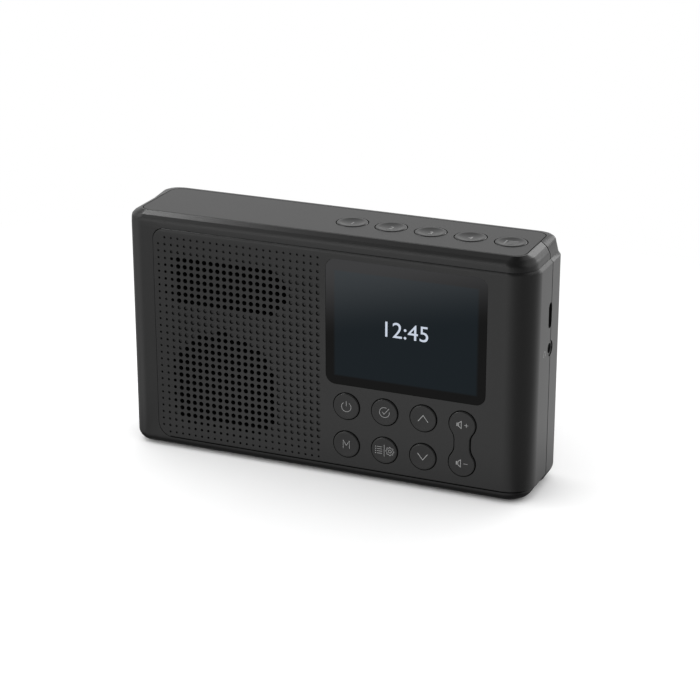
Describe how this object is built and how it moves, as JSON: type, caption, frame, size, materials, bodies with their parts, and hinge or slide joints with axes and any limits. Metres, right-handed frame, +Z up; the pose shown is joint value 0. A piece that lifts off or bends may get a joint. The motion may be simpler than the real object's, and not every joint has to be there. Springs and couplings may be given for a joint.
{
  "type": "tabletop radio",
  "caption": "Small black tabletop radio with a perforated speaker panel, a display behind a glossy lens, round push buttons, a volume rocker and a telescopic antenna on the back.",
  "frame": {"origin": "centre of the bounding box on the table, under the feet", "axes": "+X to the radio's right side as seen from the front, -Y out of the front panel, +Z up"},
  "size_m": [0.1488, 0.0324, 0.0876],
  "materials": {
    "case_plastic": "satin moulded",
    "panel_plastic": "fine satin",
    "top_plastic": "fine satin",
    "key_plastic": "satin",
    "top_key_plastic": "satin",
    "foot_rubber": "matte",
    "lens_acrylic": "polished",
    "display_glass": "smooth",
    "holder_plastic": "moulded",
    "grille_cloth": "woven",
    "basket_steel": "pressed and painted",
    "magnet_steel": "plated",
    "cone_paper": "pressed paper",
    "screw_steel": "zinc plated",
    "board_laminate": "solder mask",
    "shield_tin": "tinned",
    "switch_plastic": "moulded",
    "socket_steel": "plated",
    "socket_plastic": "moulded",
    "cell_wrap": "shrink sleeve",
    "antenna_chrome": "polished"
  },
  "bodies": {
    "case": {"front_shell": "case_plastic", "front_panel": "panel_plastic", "rear_cover": "case_plastic", "top_panel": "top_plastic", "base_feet": "foot_rubber", "display_lens": "lens_acrylic", "display_module": "display_glass", "display_holder": "holder_plastic", "speaker_cloth": "grille_cloth", "slot_cloth": "grille_cloth", "speaker_frame": "basket_steel", "speaker_magnet": "magnet_steel", "speaker_cone": "cone_paper", "speaker_screws": "screw_steel", "holder_screws": "screw_steel", "board_screws": "screw_steel", "case_screws": "screw_steel", "key_board": "board_laminate", "top_board": "board_laminate", "main_board": "board_laminate", "radio_module": "shield_tin", "key_switches": "switch_plastic", "top_switches": "switch_plastic", "usb_socket": "socket_steel", "headphone_socket": "socket_plastic", "battery_cell": "cell_wrap"},
    "power_key": {"power_button": "key_plastic", "power_plunger": "switch_plastic"},
    "confirm_key": {"confirm_button": "key_plastic", "confirm_plunger": "switch_plastic"},
    "up_key": {"up_button": "key_plastic", "up_plunger": "switch_plastic"},
    "mode_key": {"mode_button": "key_plastic", "mode_plunger": "switch_plastic"},
    "menu_key": {"menu_button": "key_plastic", "menu_plunger": "switch_plastic"},
    "down_key": {"down_button": "key_plastic", "down_plunger": "switch_plastic"},
    "preset_1_key": {"preset_1_button": "top_key_plastic", "preset_1_plunger": "switch_plastic"},
    "preset_2_key": {"preset_2_button": "top_key_plastic", "preset_2_plunger": "switch_plastic"},
    "preset_3_key": {"preset_3_button": "top_key_plastic", "preset_3_plunger": "switch_plastic"},
    "preset_4_key": {"preset_4_button": "top_key_plastic", "preset_4_plunger": "switch_plastic"},
    "preset_5_key": {"preset_5_button": "top_key_plastic", "preset_5_plunger": "switch_plastic"},
    "volume_key": {"volume_rocker": "key_plastic", "rocker_plungers": "switch_plastic"},
    "antenna_turret": {"antenna_swivel": "antenna_chrome", "antenna_pin": "antenna_chrome", "antenna_nut": "antenna_chrome"},
    "antenna_whip": {"antenna_root": "antenna_chrome", "antenna_tube": "antenna_chrome"},
    "whip_section_1": {"antenna_section_1": "antenna_chrome"},
    "whip_section_2": {"antenna_section_2": "antenna_chrome"},
    "whip_section_3": {"antenna_section_3": "antenna_chrome", "antenna_tip": "antenna_chrome"}
  },
  "joints": [
    {"name": "power_press", "type": "slide", "parent": "case", "child": "power_key", "axis": [0, 1, 0], "range_m": [0, 0.0004], "stiffness_N_per_m": 2000},
    {"name": "confirm_press", "type": "slide", "parent": "case", "child": "confirm_key", "axis": [0, 1, 0], "range_m": [0, 0.0004], "stiffness_N_per_m": 2000},
    {"name": "up_press", "type": "slide", "parent": "case", "child": "up_key", "axis": [0, 1, 0], "range_m": [0, 0.0004], "stiffness_N_per_m": 2000},
    {"name": "mode_press", "type": "slide", "parent": "case", "child": "mode_key", "axis": [0, 1, 0], "range_m": [0, 0.0004], "stiffness_N_per_m": 2000},
    {"name": "menu_press", "type": "slide", "parent": "case", "child": "menu_key", "axis": [0, 1, 0], "range_m": [0, 0.0004], "stiffness_N_per_m": 2000},
    {"name": "down_press", "type": "slide", "parent": "case", "child": "down_key", "axis": [0, 1, 0], "range_m": [0, 0.0004], "stiffness_N_per_m": 2000},
    {"name": "preset_1_press", "type": "slide", "parent": "case", "child": "preset_1_key", "axis": [0, 0, -1], "range_m": [0, 0.0004], "stiffness_N_per_m": 2000},
    {"name": "preset_2_press", "type": "slide", "parent": "case", "child": "preset_2_key", "axis": [0, 0, -1], "range_m": [0, 0.0004], "stiffness_N_per_m": 2000},
    {"name": "preset_3_press", "type": "slide", "parent": "case", "child": "preset_3_key", "axis": [0, 0, -1], "range_m": [0, 0.0004], "stiffness_N_per_m": 2000},
    {"name": "preset_4_press", "type": "slide", "parent": "case", "child": "preset_4_key", "axis": [0, 0, -1], "range_m": [0, 0.0004], "stiffness_N_per_m": 2000},
    {"name": "preset_5_press", "type": "slide", "parent": "case", "child": "preset_5_key", "axis": [0, 0, -1], "range_m": [0, 0.0004], "stiffness_N_per_m": 2000},
    {"name": "volume_tip", "type": "hinge", "parent": "case", "child": "volume_key", "pos_m": [0.05106, -0.01095, 0.01986], "axis": [1, 0, 0], "range_deg": [-2, 2], "stiffness_Nm_per_rad": 0.3},
    {"name": "antenna_turn", "type": "hinge", "parent": "case", "child": "antenna_turret", "pos_m": [0.0649, 0.01245, 0.0762], "axis": [1, 0, 0], "range_deg": [-20, 45]},
    {"name": "antenna_fold", "type": "hinge", "parent": "antenna_turret", "child": "antenna_whip", "pos_m": [0.0596, 0.01245, 0.0762], "axis": [0, 0, -1], "range_deg": [0, 90]},
    {"name": "section_1_slide", "type": "slide", "parent": "antenna_whip", "child": "whip_section_1", "axis": [-1, 0, 0], "range_m": [0, 0.1]},
    {"name": "section_2_slide", "type": "slide", "parent": "whip_section_1", "child": "whip_section_2", "axis": [-1, 0, 0], "range_m": [0, 0.1]},
    {"name": "section_3_slide", "type": "slide", "parent": "whip_section_2", "child": "whip_section_3", "axis": [-1, 0, 0], "range_m": [0, 0.1]}
  ]
}
